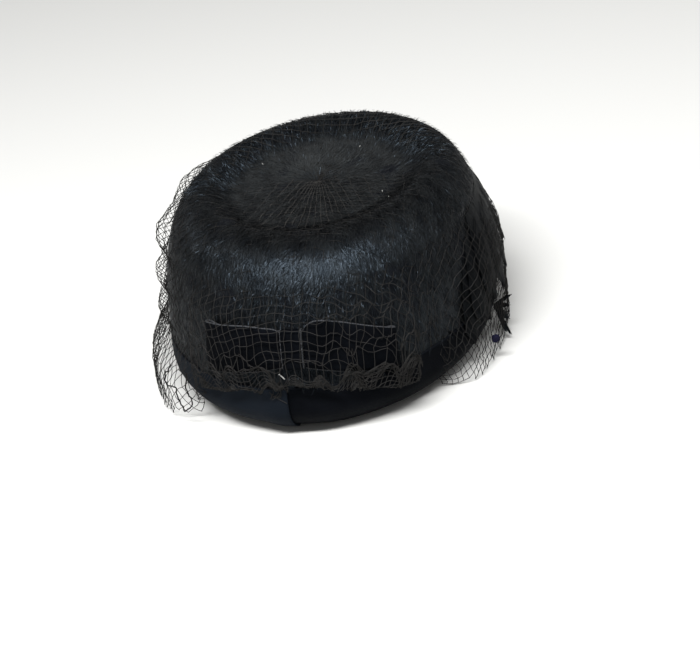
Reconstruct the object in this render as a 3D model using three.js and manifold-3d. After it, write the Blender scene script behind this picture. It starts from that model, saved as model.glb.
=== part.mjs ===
import * as THREE from "three";
import { mergeVertices } from "three/addons/utils/BufferGeometryUtils.js";
import Module from "manifold-3d";

const wasm = await Module();
wasm.setup();

// All sizes are millimetres. The front of the hat faces +Y and the wearer's right is +X. An angle round the
// hat is in degrees, 0 at the middle of the back, 90 at the wearer's right and 180 at the front.

// Felt body: an oval that swells out above the opening and closes in over a rounded shoulder
const OPENING_HALF_WIDTH = 86.4;
const SWELL_HALF_WIDTH = 106;
const SWELL_HEIGHT = 23.5;
const EDGE_HALF_WIDTH = 72.9;
const CROWN_HEIGHT = 120.9;
const LENGTH_TO_WIDTH = 1.17;
const SHOULDER_ACROSS = 2.45;
const SHOULDER_UP = 2.59;
const LEAN_RIGHT = 0.046;
const LEAN_FORWARD = 0.045;
const FELT = 2.6;

// Tip: sunken inside its raised edge, with a low dome and a small hollow at the swirl of the nap
const TIP_SINK = 6;
const TIP_SLOPE = 0.2;
const TIP_DOME = 2.6;
const SWIRL_DEPTH = 2.6;
const SWIRL_REACH = 0.12;

// Ribbon band round the foot of the wall
const CLEARANCE = 0.4;
const BAND_LOW = 0.8;
const BAND_HIGH = 38;
const BAND_THICKNESS = 1.2;
const BAND_FACE = CLEARANCE + BAND_THICKNESS;

// Bow of the same ribbon, flat on the wall above the band, with its right loop drooping
const RIBBON = 1;
const BOW_MIDDLE = 3;
const KNOT_HALF_WIDTH = 6.5;
const KNOT_LOW = 52.5;
const KNOT_HIGH = 77;
const KNOT_DEPTH = 8;
const KNOT_ROUNDING = 1.6;

// One loop, from its rear layer at the knot, round the outer fold, and back to the knot: distance from the
// middle of the bow, height off the felt, and lower and upper edge of the ribbon on each side
const LOOP_SECTIONS = [
  { out: 7.2, off: 1.2, leftLow: 53, leftHigh: 76, rightLow: 53, rightHigh: 76 },
  { out: 20, off: 1.2, leftLow: 51.4, leftHigh: 77.2, rightLow: 50, rightHigh: 79.5 },
  { out: 38, off: 1.2, leftLow: 49, leftHigh: 78.2, rightLow: 45.5, rightHigh: 75 },
  { out: 53, off: 1.3, leftLow: 45.8, leftHigh: 77.4, rightLow: 41, rightHigh: 68.5 },
  { out: 60, off: 2.3, leftLow: 45, leftHigh: 76.8, rightLow: 39.6, rightHigh: 65.5 },
  { out: 62, off: 4, leftLow: 45, leftHigh: 76.6, rightLow: 39.6, rightHigh: 64.8 },
  { out: 59.6, off: 5.7, leftLow: 45, leftHigh: 76.8, rightLow: 39.6, rightHigh: 65.8 },
  { out: 46, off: 6.7, leftLow: 47.6, leftHigh: 78, rightLow: 43, rightHigh: 72 },
  { out: 30, off: 6.9, leftLow: 50, leftHigh: 78, rightLow: 47, rightHigh: 78.6 },
  { out: 17, off: 6.2, leftLow: 51.8, leftHigh: 77, rightLow: 50.6, rightHigh: 81.4 },
  { out: 10.4, off: 5, leftLow: 52.6, leftHigh: 76.4, rightLow: 52, rightHigh: 79.6 },
  { out: 7.2, off: 4.4, leftLow: 53, leftHigh: 76, rightLow: 53, rightHigh: 75.6 },
];
const LOOP_STEPS_UP = 3;

// Feathers: a wing of overlapping blades on the wearer's right, on one thin backing
const WING_REAR = 70;
const WING_FRONT = 150;
const WING_TOP = 93;
const WING_CLEARANCE = 0.7;
const BACKING_THICKNESS = 1.4;
const BLADE_EDGE = 0.6;
const BLADE_RIDGE = 1.8;
const BLADE_STEPS = 4;

// Rows of blades: how many, height of roots and of tips at the rear and the front, width, and how far the
// root and the tip stand off the felt
const BLADE_ROWS = [
  { count: 7, root: 76, rearTip: 14, frontTip: 44, width: 25, rootOff: 1.2, tipOff: 5.4 },
  { count: 6, root: 96, rearTip: 46, frontTip: 64, width: 27, rootOff: 1.2, tipOff: 7.2 },
];

// Loose feather tips below the wing: where each ends, and its width
const SPRAY_ROOT = { angle: 97, height: 20.5, off: 1.5 };
const SPRAY_TIPS = [
  { angle: 86, height: 19.5, off: 8.5, width: 5 },
  { angle: 89, height: 17, off: 11, width: 6 },
  { angle: 93, height: 11, off: 11.2, width: 7 },
  { angle: 97, height: 7, off: 10.5, width: 6 },
  { angle: 102, height: 10, off: 9, width: 5 },
];

// Veil: a net laid over everything, tacked at the swirl and stitched to the band at the back
const VEIL_THICKNESS = 1;
const VEIL_OFF = 3;
const VEIL_OVER_BOW = 7.6;
const VEIL_OVER_WING = 8.6;
const VEIL_PUFF = 10.5;
const VEIL_GAPS_ROUND = 24;
const STRAND_HALF_ANGLE = 2;
const VEIL_LOWEST = 0.6;

// Lower edge of the veil round the hat
const VEIL_EDGE = [
  { angle: -180, height: 2.5 },
  { angle: -100, height: 1.2 },
  { angle: -52, height: 1 },
  { angle: -40, height: 13 },
  { angle: -21, height: 28 },
  { angle: 0, height: 37 },
  { angle: 20, height: 27 },
  { angle: 46, height: 9 },
  { angle: 60, height: 1.5 },
  { angle: 100, height: 1 },
  { angle: 180, height: 2.5 },
];

// Rings of the veil from the swirl outward and down. Over the tip and shoulder a ring lies at a level, and on
// the wall at a share of the way from VEIL_WALL_TOP to the lower edge. Where open is true the net is cut
// through between this ring and the next.
const VEIL_WALL_TOP = 93;
const VEIL_RINGS = [
  { level: 3, open: false },
  { level: 2.86, open: false },
  { level: 2.7, open: true },
  { level: 2.52, open: true },
  { level: 2.34, open: false },
  { level: 2.26, open: true },
  { level: 2.1, open: true },
  { level: 1.93, open: false },
  { level: 1.86, open: true },
  { level: 1.7, open: true },
  { level: 1.52, open: false },
  { share: 0, open: true },
  { share: 0.16, open: true },
  { share: 0.32, open: true },
  { share: 0.45, open: false },
  { share: 0.53, open: true },
  { share: 0.66, open: true },
  { share: 0.8, open: true },
  { share: 0.93, open: false },
  { share: 1, open: false },
];

// Chenille dot on the veil
const DOT_RADIUS = 2.5;
const DOT_ANGLE = 75;
const DOT_HEIGHT = 15;

const COLUMNS = 48;
const WALL_HEIGHTS = [0, 7, 15, SWELL_HEIGHT, 34, 48, 64, 80, 95, 106, 114, 119, CROWN_HEIGHT];
const TIP_RINGS = [0.93, 0.86, 0.8, 0.6, 0.32, 0.1, 0];
const BAND_HEIGHTS = [BAND_LOW, 7, 15, SWELL_HEIGHT, 31, BAND_HIGH];

// Curves and tables

function radians(degrees) {
  return (degrees * Math.PI) / 180;
}

function mix(a, b, share) {
  return a + (b - a) * share;
}

// From 0 to 1 on a smooth step as value goes from start to end, either way round
function ease(start, end, value) {
  const share = THREE.MathUtils.clamp((value - start) / (end - start), 0, 1);
  return share * share * (3 - 2 * share);
}

function veilEdgeHeight(angle) {
  const turn = ((angle + 540) % 360) - 180;
  const after = VEIL_EDGE.findIndex((row, i) => i > 0 && turn <= row.angle);
  const low = VEIL_EDGE[after - 1];
  const high = VEIL_EDGE[after];
  return mix(low.height, high.height, ease(low.angle, high.angle, turn));
}

// The felt's outer surface

// Section at a level: 0 at the opening, 1 where the wall is widest, 2 on the raised edge, 3 at the swirl
function section(level) {
  if (level <= 1) {
    const width = 1 - (1 - level) ** 2;
    return { half: mix(OPENING_HALF_WIDTH, SWELL_HALF_WIDTH, width), height: SWELL_HEIGHT * level };
  }
  if (level <= 2) {
    const turn = (level - 1) * 0.5 * Math.PI;
    return {
      half: mix(EDGE_HALF_WIDTH, SWELL_HALF_WIDTH, Math.max(0, Math.cos(turn)) ** (2 / SHOULDER_ACROSS)),
      height: mix(SWELL_HEIGHT, CROWN_HEIGHT, Math.sin(turn) ** (2 / SHOULDER_UP)),
    };
  }
  const ring = 3 - level;
  const sink = TIP_SINK * ease(1, 1 - TIP_SLOPE, ring);
  const dome = TIP_DOME * Math.max(0, 1 - (ring / (1 - TIP_SLOPE)) ** 2);
  const swirl = SWIRL_DEPTH * Math.exp(-((ring / SWIRL_REACH) ** 2));
  return { half: EDGE_HALF_WIDTH * ring, height: CROWN_HEIGHT - sink + dome - swirl };
}

// Level of a height on the wall or shoulder
function levelAt(height) {
  if (height <= SWELL_HEIGHT) {
    return height / SWELL_HEIGHT;
  }
  const rise = (height - SWELL_HEIGHT) / (CROWN_HEIGHT - SWELL_HEIGHT);
  return 1 + Math.asin(Math.min(1, rise ** (SHOULDER_UP / 2))) / (0.5 * Math.PI);
}

// Point on the felt. Where hang is 1 the lower wall drops straight from the widest line instead of
// tucking in, as cloth does that hangs free of the wall.
function wallPoint(angle, level, hang) {
  const { half, height } = section(level);
  const across = level < 1 ? mix(half, SWELL_HALF_WIDTH, hang) : half;
  const turn = radians(angle);
  return new THREE.Vector3(
    across * Math.sin(turn) + LEAN_RIGHT * height,
    -LENGTH_TO_WIDTH * across * Math.cos(turn) + LEAN_FORWARD * height,
    height,
  );
}

// Point at a distance off the felt, along the surface's own normal
function offFelt(angle, level, distance, hang = 0) {
  const point = wallPoint(angle, level, hang);
  if (level >= 3) {
    return point.add(new THREE.Vector3(0, 0, distance));
  }
  const step = 1e-3;
  const lower = Math.max(0, level - step);
  const along = wallPoint(angle + 0.1, level, hang).sub(wallPoint(angle - 0.1, level, hang));
  const up = wallPoint(angle, Math.min(3, level + step), hang).sub(wallPoint(angle, lower, hang));
  return point.add(along.cross(up).setLength(distance));
}

// Closed walls from two grids of points

// Adds a four-sided face as two triangles and leaves out a triangle that has no area
function addFace(positions, a, b, c, d) {
  for (const corners of [[a, b, c], [a, c, d]]) {
    const [p, q, r] = corners;
    const flat = p.distanceTo(q) < 1e-3 || q.distanceTo(r) < 1e-3 || r.distanceTo(p) < 1e-3;
    if (!flat) {
      corners.forEach((corner) => positions.push(corner.x, corner.y, corner.z));
    }
  }
}

// Wall between an outer and an inner grid. Rows go up and columns go with the angle; a round wall closes
// on its first column, and hasCloth says which cells aren't cut out.
function wallGeometry(outer, inner, { round = false, hasCloth = () => true } = {}) {
  const columns = outer[0].length;
  const cellRows = outer.length - 1;
  const cellColumns = round ? columns : columns - 1;
  const positions = [];
  const filled = (i, j) => {
    const column = round ? (j + columns) % columns : j;
    return i >= 0 && i < cellRows && column >= 0 && column < cellColumns && hasCloth(i, column);
  };
  for (let i = 0; i < cellRows; i += 1) {
    for (let j = 0; j < cellColumns; j += 1) {
      if (filled(i, j)) {
        const corners = [[i, j], [i, j + 1], [i + 1, j + 1], [i + 1, j]];
        const over = corners.map(([row, column]) => outer[row][column % columns]);
        const under = corners.map(([row, column]) => inner[row][column % columns]);
        addFace(positions, over[0], over[1], over[2], over[3]);
        addFace(positions, under[0], under[3], under[2], under[1]);
        const beyond = [[i - 1, j], [i, j + 1], [i + 1, j], [i, j - 1]];
        beyond.forEach(([row, column], side) => {
          if (!filled(row, column)) {
            const next = (side + 1) % 4;
            addFace(positions, over[next], over[side], under[side], under[next]);
          }
        });
      }
    }
  }
  const geometry = new THREE.BufferGeometry();
  geometry.setAttribute("position", new THREE.Float32BufferAttribute(positions, 3));
  return mergeVertices(geometry, 1e-3);
}

function grid(rows, columns, pointAt) {
  return rows.map((row) => columns.map((column) => pointAt(row, column)));
}

function steps(count) {
  return Array.from({ length: count + 1 }, (_, i) => i / count);
}

const ANGLES = Array.from({ length: COLUMNS }, (_, i) => (i * 360) / COLUMNS);

// Solids joined into one

function joined(geometries) {
  const whole = geometries
    .map((geometry) => {
      const vertProperties = new Float32Array(geometry.getAttribute("position").array);
      const triVerts = new Uint32Array(geometry.getIndex().array);
      return new wasm.Manifold(new wasm.Mesh({ numProp: 3, vertProperties, triVerts }));
    })
    .reduce((sum, solid) => sum.add(solid));
  const mesh = whole.getMesh();
  const geometry = new THREE.BufferGeometry();
  geometry.setAttribute("position", new THREE.BufferAttribute(mesh.vertProperties, 3));
  geometry.setIndex(new THREE.BufferAttribute(mesh.triVerts, 1));
  return geometry;
}

// Pieces

function crownGeometry() {
  const levels = [...WALL_HEIGHTS.map(levelAt), ...TIP_RINGS.map((ring) => 3 - ring)];
  const outer = grid(levels, ANGLES, (level, angle) => offFelt(angle, level, 0));
  const inner = grid(levels, ANGLES, (level, angle) => {
    const point = offFelt(angle, level, -FELT);
    // The cut edge of the felt is level
    return level === 0 ? insideEdge(angle) : point;
  });
  return wallGeometry(outer, inner, { round: true });
}

// Inner corner of the felt's level lower edge
function insideEdge(angle) {
  const turn = radians(angle);
  const half = OPENING_HALF_WIDTH - FELT;
  const length = LENGTH_TO_WIDTH * OPENING_HALF_WIDTH - FELT;
  return new THREE.Vector3(half * Math.sin(turn), -length * Math.cos(turn), 0);
}

function bandGeometry() {
  const levels = BAND_HEIGHTS.map(levelAt);
  const face = (distance) => grid(levels, ANGLES, (level, angle) => {
    const point = offFelt(angle, level, distance);
    point.z = Math.max(point.z, BAND_LOW);
    return point;
  });
  return wallGeometry(face(BAND_FACE), face(CLEARANCE), { round: true });
}

// Point on the bow: along the back of the hat from the bow's middle, up, and off the felt
function bowPoint(along, height, distance) {
  const angle = THREE.MathUtils.radToDeg((BOW_MIDDLE + along) / SWELL_HALF_WIDTH);
  return offFelt(angle, levelAt(height), distance);
}

// Ribbon carried along its sections, with its thickness laid square to the path
function loopGeometry(side) {
  const sections = LOOP_SECTIONS.map((row, i) => {
    const before = LOOP_SECTIONS[Math.max(0, i - 1)];
    const after = LOOP_SECTIONS[Math.min(LOOP_SECTIONS.length - 1, i + 1)];
    const square = new THREE.Vector2(after.off - before.off, before.out - after.out);
    return { ...row, square: square.setLength(RIBBON / 2) };
  });
  const face = (sign) => grid(steps(LOOP_STEPS_UP), sections, (share, row) => {
    const out = row.out + sign * row.square.x;
    const height = side < 0 ? mix(row.leftLow, row.leftHigh, share) : mix(row.rightLow, row.rightHigh, share);
    return bowPoint(side * out, height, row.off + sign * row.square.y);
  });
  return wallGeometry(face(-side), face(side));
}

function knotGeometry() {
  const heights = steps(4).map((share) => mix(KNOT_LOW, KNOT_HIGH, share));
  const shares = steps(6).map((share) => mix(-1, 1, share));
  const outer = grid(heights, shares, (height, share) =>
    bowPoint(share * KNOT_HALF_WIDTH, height, KNOT_DEPTH - KNOT_ROUNDING * share ** 4));
  const inner = grid(heights, shares, (height, share) =>
    bowPoint(share * KNOT_HALF_WIDTH, height, CLEARANCE));
  return wallGeometry(outer, inner);
}

// Distance of the wing's underside off the felt: it passes over the band at the foot of the wall
function underWing(height) {
  const overBand = ease(BAND_HIGH + 12, BAND_HIGH + 6, height);
  return WING_CLEARANCE + BAND_FACE * overBand;
}

function backingGeometry() {
  const angles = ANGLES.filter((angle) => angle > WING_REAR && angle < WING_FRONT);
  const place = (share, angle) => {
    const along = (angle - WING_REAR) / (WING_FRONT - WING_REAR);
    const foot = mix(BLADE_ROWS[0].rearTip, BLADE_ROWS[0].frontTip, along) + 14;
    return mix(foot, WING_TOP, share);
  };
  const face = (thickness) => grid(steps(6), angles, (share, angle) => {
    const height = place(share, angle);
    return offFelt(angle, levelAt(height), underWing(height) + thickness);
  });
  return wallGeometry(face(BACKING_THICKNESS), face(0));
}

// Share of a blade's full width along it: narrow at the root, widest past the middle, pointed at the tip
function bladeSpread(share) {
  const body = 0.16 + 0.84 * Math.sin(Math.PI * (0.18 + 0.72 * share)) ** 0.8;
  return share > 0.8 ? mix(body, 0.1, ease(0.8, 1, share)) : body;
}

// Blade of a feather with a ridge along its quill. Each end has an angle round the hat, a height and a
// distance off the felt.
function bladeGeometry(root, tip, width) {
  const face = (edge, ridge) => grid(steps(BLADE_STEPS).reverse(), [-1, 0, 1], (share, side) => {
    const sideways = THREE.MathUtils.radToDeg((side * 0.5 * width * bladeSpread(share)) / SWELL_HALF_WIDTH);
    const angle = mix(root.angle, tip.angle, share) + sideways;
    const height = mix(root.height, tip.height, share);
    const off = mix(root.off, tip.off, share) + (side === 0 ? ridge : edge);
    return offFelt(angle, levelAt(height), off, 1);
  });
  return wallGeometry(face(BLADE_EDGE, BLADE_RIDGE), face(0, 0));
}

function wingGeometry() {
  const blades = BLADE_ROWS.flatMap((row) =>
    steps(row.count - 1).map((share) => {
      const angle = mix(WING_REAR + 5, WING_FRONT - 5, share);
      const root = { angle, height: row.root, off: row.rootOff };
      const tip = { angle: angle - 2, height: mix(row.rearTip, row.frontTip, share), off: row.tipOff };
      return bladeGeometry(root, tip, row.width);
    }));
  return joined([backingGeometry(), ...blades]);
}

function sprayGeometry() {
  return joined(SPRAY_TIPS.map((tip) => bladeGeometry(SPRAY_ROOT, tip, tip.width)));
}

// How free of the wall the veil hangs: stitched down across the back, loose everywhere else
function slack(angle) {
  const turn = ((angle + 540) % 360) - 180;
  return turn < 0 ? ease(-41, -53, turn) : ease(50, 64, turn);
}

function veilOff(angle, level) {
  if (level >= 2) {
    const ring = 3 - level;
    return mix(CLEARANCE, VEIL_OFF, ease(0, 0.3, ring));
  }
  const { height } = section(level);
  const turn = ((angle + 540) % 360) - 180;
  const along = THREE.MathUtils.degToRad(turn) * SWELL_HALF_WIDTH - BOW_MIDDLE;
  const overEdge = ease(0, 4, height - veilEdgeHeight(angle));
  const bow = ease(80, 69, Math.abs(along)) * overEdge * ease(95, 83, height);
  const wing = ease(WING_REAR - 8, WING_REAR, turn) * ease(WING_FRONT + 9, WING_FRONT, turn)
    * ease(104, 92, height);
  const puff = slack(angle) * ease(50, 20, height);
  return VEIL_OFF + Math.max(VEIL_OVER_BOW * bow, VEIL_OVER_WING * wing, VEIL_PUFF * puff);
}

function veilGeometry() {
  const pitch = 360 / VEIL_GAPS_ROUND;
  const angles = Array.from({ length: VEIL_GAPS_ROUND }, (_, i) => i * pitch)
    .flatMap((middle) => [middle - STRAND_HALF_ANGLE, middle + STRAND_HALF_ANGLE]);
  const rings = [...VEIL_RINGS].reverse();
  const face = (thickness) => grid(rings, angles, (ring, angle) => {
    const height = mix(VEIL_WALL_TOP, veilEdgeHeight(angle), ring.share);
    const level = ring.level ?? levelAt(height);
    const point = offFelt(angle, level, veilOff(angle, level) + thickness, slack(angle));
    point.z = Math.max(point.z, VEIL_LOWEST);
    return point;
  });
  const isStrand = (column) => column % 2 === 0;
  const hasCloth = (row, column) => isStrand(column) || !rings[row + 1].open;
  return wallGeometry(face(VEIL_THICKNESS), face(0), { round: true, hasCloth });
}

function dotGeometry() {
  const centre = offFelt(
    DOT_ANGLE,
    levelAt(DOT_HEIGHT),
    veilOff(DOT_ANGLE, levelAt(DOT_HEIGHT)) + VEIL_THICKNESS + CLEARANCE + DOT_RADIUS,
    1,
  );
  const ball = new THREE.SphereGeometry(DOT_RADIUS, 10, 6).translate(centre.x, centre.y, centre.z);
  ball.deleteAttribute("normal");
  ball.deleteAttribute("uv");
  return mergeVertices(ball, 1e-3);
}

// Materials

const FELT_BLACK = new THREE.MeshStandardMaterial({ color: 0x090a0d, roughness: 0.55, metalness: 0 });
const VELVET_BLACK = new THREE.MeshStandardMaterial({ color: 0x07090e, roughness: 0.7, metalness: 0 });
const FEATHER_BLACK = new THREE.MeshStandardMaterial({ color: 0x0b0c10, roughness: 0.45, metalness: 0 });
const NET_BLACK = new THREE.MeshStandardMaterial({ color: 0x14120f, roughness: 0.8, metalness: 0 });
const CHENILLE_NAVY = new THREE.MeshStandardMaterial({ color: 0x0c0d18, roughness: 0.9, metalness: 0 });

// The whole hat, with the middle of its footprint at the origin

const PIECES = [
  { name: "crown", geometry: crownGeometry(), material: FELT_BLACK },
  { name: "band", geometry: bandGeometry(), material: VELVET_BLACK },
  { name: "bow_loop_left", geometry: loopGeometry(-1), material: VELVET_BLACK },
  { name: "bow_loop_right", geometry: loopGeometry(1), material: VELVET_BLACK },
  { name: "bow_knot", geometry: knotGeometry(), material: VELVET_BLACK },
  { name: "feather_wing", geometry: wingGeometry(), material: FEATHER_BLACK },
  { name: "feather_spray", geometry: sprayGeometry(), material: FEATHER_BLACK },
  { name: "veil", geometry: veilGeometry(), material: NET_BLACK },
  { name: "veil_dot", geometry: dotGeometry(), material: CHENILLE_NAVY },
];

const hat = new THREE.Group();
for (const { name, geometry, material } of PIECES) {
  const mesh = new THREE.Mesh(geometry, material);
  mesh.name = name;
  hat.add(mesh);
}
const footprint = new THREE.Box3().setFromObject(hat);
const middle = footprint.getCenter(new THREE.Vector3());
hat.position.set(-middle.x, -middle.y, -footprint.min.z);
hat.updateMatrixWorld(true);

export default hat;
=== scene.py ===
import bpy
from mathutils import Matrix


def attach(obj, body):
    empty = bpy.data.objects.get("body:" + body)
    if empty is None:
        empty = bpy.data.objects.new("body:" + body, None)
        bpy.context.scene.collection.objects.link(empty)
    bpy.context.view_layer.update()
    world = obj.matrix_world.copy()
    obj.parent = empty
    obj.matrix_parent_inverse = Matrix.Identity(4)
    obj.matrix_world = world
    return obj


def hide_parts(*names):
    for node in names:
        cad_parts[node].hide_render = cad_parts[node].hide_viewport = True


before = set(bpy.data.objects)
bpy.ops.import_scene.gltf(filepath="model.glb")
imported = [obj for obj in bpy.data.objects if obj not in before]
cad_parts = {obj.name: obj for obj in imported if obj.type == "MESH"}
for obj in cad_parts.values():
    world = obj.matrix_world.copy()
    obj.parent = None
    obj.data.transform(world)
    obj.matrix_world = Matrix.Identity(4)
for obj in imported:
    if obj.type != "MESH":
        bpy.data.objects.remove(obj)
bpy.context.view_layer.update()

import math

import bpy
import numpy as np
from mathutils import Matrix, Vector

# Camera: behind the hat and a little to the wearer's right, 27 degrees above the floor, with the picture
# turned 10 degrees. It looks past the hat's middle, so that the hat sits left of and above the centre.
rim_points = np.array([v.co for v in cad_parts["crown"].data.vertices])
rim_points = rim_points[rim_points[:, 2] < 1e-4]
OPENING_CENTRE = (rim_points.min(0) + rim_points.max(0)) / 2
PICTURE = (700, 666)
CAMERA_TURN = math.radians(15.946)
CAMERA_RISE = math.radians(26.970)
CAMERA_ROLL = math.radians(-10.363)
CAMERA_DISTANCE = 1.3
CAMERA_FOCUS_PIXELS = 1969.4
TARGET_HEIGHT = 0.060
TARGET_PIXEL = (322.8, 260.3)

target = OPENING_CENTRE + np.array([0, 0, TARGET_HEIGHT])
towards_camera = np.array([
    math.sin(CAMERA_TURN) * math.cos(CAMERA_RISE),
    -math.cos(CAMERA_TURN) * math.cos(CAMERA_RISE),
    math.sin(CAMERA_RISE),
])
level_right = np.array([math.cos(CAMERA_TURN), math.sin(CAMERA_TURN), 0])
level_up = np.cross(level_right, -towards_camera)
picture_right = level_right * math.cos(CAMERA_ROLL) + level_up * math.sin(CAMERA_ROLL)
picture_up = level_up * math.cos(CAMERA_ROLL) - level_right * math.sin(CAMERA_ROLL)
aim = Vector((
    (TARGET_PIXEL[0] - PICTURE[0] / 2) / CAMERA_FOCUS_PIXELS,
    (PICTURE[1] / 2 - TARGET_PIXEL[1]) / CAMERA_FOCUS_PIXELS,
    -1,
))
axes = Matrix(np.stack([picture_right, picture_up, towards_camera], 1).tolist())
turned = axes @ aim.rotation_difference(Vector((0, 0, -1))).to_matrix()
camera_data = bpy.data.cameras.new("camera")
camera_data.sensor_fit = "HORIZONTAL"
camera_data.lens = camera_data.sensor_width * CAMERA_FOCUS_PIXELS / PICTURE[0]
camera = bpy.data.objects.new("camera", camera_data)
camera.matrix_world = Matrix.Translation(target + CAMERA_DISTANCE * towards_camera) @ turned.to_4x4()
bpy.context.scene.collection.objects.link(camera)
bpy.context.scene.camera = camera

# Studio: a plain pale floor in white surroundings, a wide softbox high behind the camera for the sheen on
# the rear shoulder, and a weaker one at each side.
FLOOR_SIZE = 8
FLOOR_COLOR = (0.60, 0.60, 0.585, 1)
SURROUND_COLOR = (1, 1, 1, 1)
SURROUND_STRENGTH = 0.33
SOFTBOXES = [
    {"name": "key", "turn": 0, "rise": 58, "away": 1.6, "wide": 1.35, "high": 0.22, "watts": 56},
    {"name": "left", "turn": -100, "rise": 45, "away": 1.8, "wide": 0.6, "high": 0.6, "watts": 4},
    {"name": "right", "turn": 95, "rise": 45, "away": 1.8, "wide": 0.6, "high": 0.6, "watts": 4},
]

world = bpy.data.worlds.new("surroundings")
world.use_nodes = True
world.node_tree.nodes["Background"].inputs["Color"].default_value = SURROUND_COLOR
world.node_tree.nodes["Background"].inputs["Strength"].default_value = SURROUND_STRENGTH
bpy.context.scene.world = world
bpy.context.scene.view_settings.view_transform = "Standard"
for box in SOFTBOXES:
    turn, rise = math.radians(box["turn"]), math.radians(box["rise"])
    outward = Vector((
        math.sin(turn) * math.cos(rise),
        -math.cos(turn) * math.cos(rise),
        math.sin(rise),
    ))
    light_data = bpy.data.lights.new(box["name"], "AREA")
    light_data.shape = "RECTANGLE"
    light_data.size = box["wide"]
    light_data.size_y = box["high"]
    light_data.energy = box["watts"]
    light = bpy.data.objects.new(box["name"], light_data)
    light.matrix_world = (
        Matrix.Translation(Vector(target) + outward * box["away"])
        @ outward.to_track_quat("Z", "Y").to_matrix().to_4x4()
    )
    bpy.context.scene.collection.objects.link(light)


def new_material(name, values):
    """A material whose one Principled BSDF has its sockets set by name. Returns it with its shader."""
    material = bpy.data.materials.new(name)
    material.use_nodes = True
    shader = material.node_tree.nodes["Principled BSDF"]
    for socket, value in values.items():
        shader.inputs[socket].default_value = value
    return material, shader


floor_mesh = bpy.data.meshes.new("floor")
half = FLOOR_SIZE / 2
floor_corners = [(-half, -half, 0), (half, -half, 0), (half, half, 0), (-half, half, 0)]
floor_mesh.from_pydata(floor_corners, [], [(0, 1, 2, 3)])
floor = bpy.data.objects.new("floor", floor_mesh)
floor_mesh.materials.append(new_material("floor_paint", {"Base Color": FLOOR_COLOR, "Roughness": 0.9})[0])
bpy.context.scene.collection.objects.link(floor)

# Felt body: one blocked hood of black fur felt, open below. The wall swells out above the opening and
# closes in over a rounded shoulder to a raised edge, inside which the tip is sunken.
OPENING_HALF_WIDTH = 0.0864
SWELL_HALF_WIDTH = 0.106
SWELL_HEIGHT = 0.0235
EDGE_HALF_WIDTH = 0.0729
CROWN_HEIGHT = 0.1209
LENGTH_TO_WIDTH = 1.17
SHOULDER_ACROSS = 2.45
SHOULDER_UP = 2.59
LEAN = np.array([0.046, 0.045, 0])
TIP_SINK = 0.006
TIP_SLOPE = 0.27
TIP_DOME = 0.0026
SWIRL_DEPTH = 0.0026
SWIRL_REACH = 0.12
FELT = 0.0026
DENT_SIZE = 0.035
DENT_DEPTH = 0.0006
BODY_COLUMNS = 240
PINCH = {"angle": 100, "level": 2.62, "wide": 6, "long": 0.10, "deep": 0.0022}


def ease(start, end, value):
    """Smooth step from 0 to 1 as value goes from start to end, either way round."""
    share = np.clip((value - start) / (end - start), 0, 1)
    return share * share * (3 - 2 * share)


def section(level):
    """Half width and height of the felt's outline: level 0 is the opening, 1 the widest line, 2 the raised
    edge and 3 the swirl. The foot is a parabola, the shoulder a quarter of a superellipse, and the tip
    a smooth step down, a low dome and a small round hollow."""
    level = np.asarray(level, float)
    foot = np.clip(level, 0, 1)
    turn = (np.clip(level, 1, 2) - 1) * math.pi / 2
    ring = np.clip(3 - level, 0, 1)
    reach = SWELL_HALF_WIDTH - EDGE_HALF_WIDTH
    lower = SWELL_HALF_WIDTH - (SWELL_HALF_WIDTH - OPENING_HALF_WIDTH) * (1 - foot) ** 2
    upper = EDGE_HALF_WIDTH + reach * np.maximum(0, np.cos(turn)) ** (2 / SHOULDER_ACROSS)
    rise = SWELL_HEIGHT + (CROWN_HEIGHT - SWELL_HEIGHT) * np.sin(turn) ** (2 / SHOULDER_UP)
    slope = TIP_SINK * ease(1, 1 - TIP_SLOPE, ring)
    dome = TIP_DOME * np.maximum(0, 1 - (ring / (1 - TIP_SLOPE)) ** 2)
    swirl = SWIRL_DEPTH * np.exp(-((ring / SWIRL_REACH) ** 2))
    tip = CROWN_HEIGHT - slope + dome - swirl
    half_width = np.where(level <= 1, lower, np.where(level <= 2, upper, EDGE_HALF_WIDTH * ring))
    height = np.where(level <= 1, SWELL_HEIGHT * foot, np.where(level <= 2, rise, tip))
    return half_width, height


def level_at(height):
    """Level of a height on the foot or the shoulder: section's height turned round."""
    rise = np.clip((height - SWELL_HEIGHT) / (CROWN_HEIGHT - SWELL_HEIGHT), 0, 1)
    upper = 1 + np.arcsin(rise ** (SHOULDER_UP / 2)) / (math.pi / 2)
    return np.where(height <= SWELL_HEIGHT, np.clip(height / SWELL_HEIGHT, 0, 1), upper)


def felt_point(angle, level, hang=0.0):
    """Point on the felt: an oval of the section's half width at its height, leaned over. The angle is in
    degrees, 0 at the middle of the back and 90 at the wearer's right. Where hang is 1 the foot drops
    straight from the widest line instead of tucking in."""
    half_width, height = section(level)
    foot = np.asarray(level) < 1
    half_width = np.where(foot, half_width + (SWELL_HALF_WIDTH - half_width) * hang, half_width)
    turn = np.radians(angle)
    flat = np.stack(np.broadcast_arrays(
        half_width * np.sin(turn), -LENGTH_TO_WIDTH * half_width * np.cos(turn), height), -1)
    return OPENING_CENTRE + flat + LEAN * flat[..., 2:]


def felt_slopes(angle, level, hang=0.0):
    """Change of the felt's point for each degree and for each unit of level, by small differences."""
    level = np.asarray(level, float)
    step = 1e-3
    above, below = np.minimum(3, level + step), np.maximum(0, level - step)
    round_it = (felt_point(angle + 0.1, level, hang) - felt_point(angle - 0.1, level, hang)) / 0.2
    up_it = (felt_point(angle, above, hang) - felt_point(angle, below, hang)) / (above - below)[..., None]
    return round_it, up_it


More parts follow.
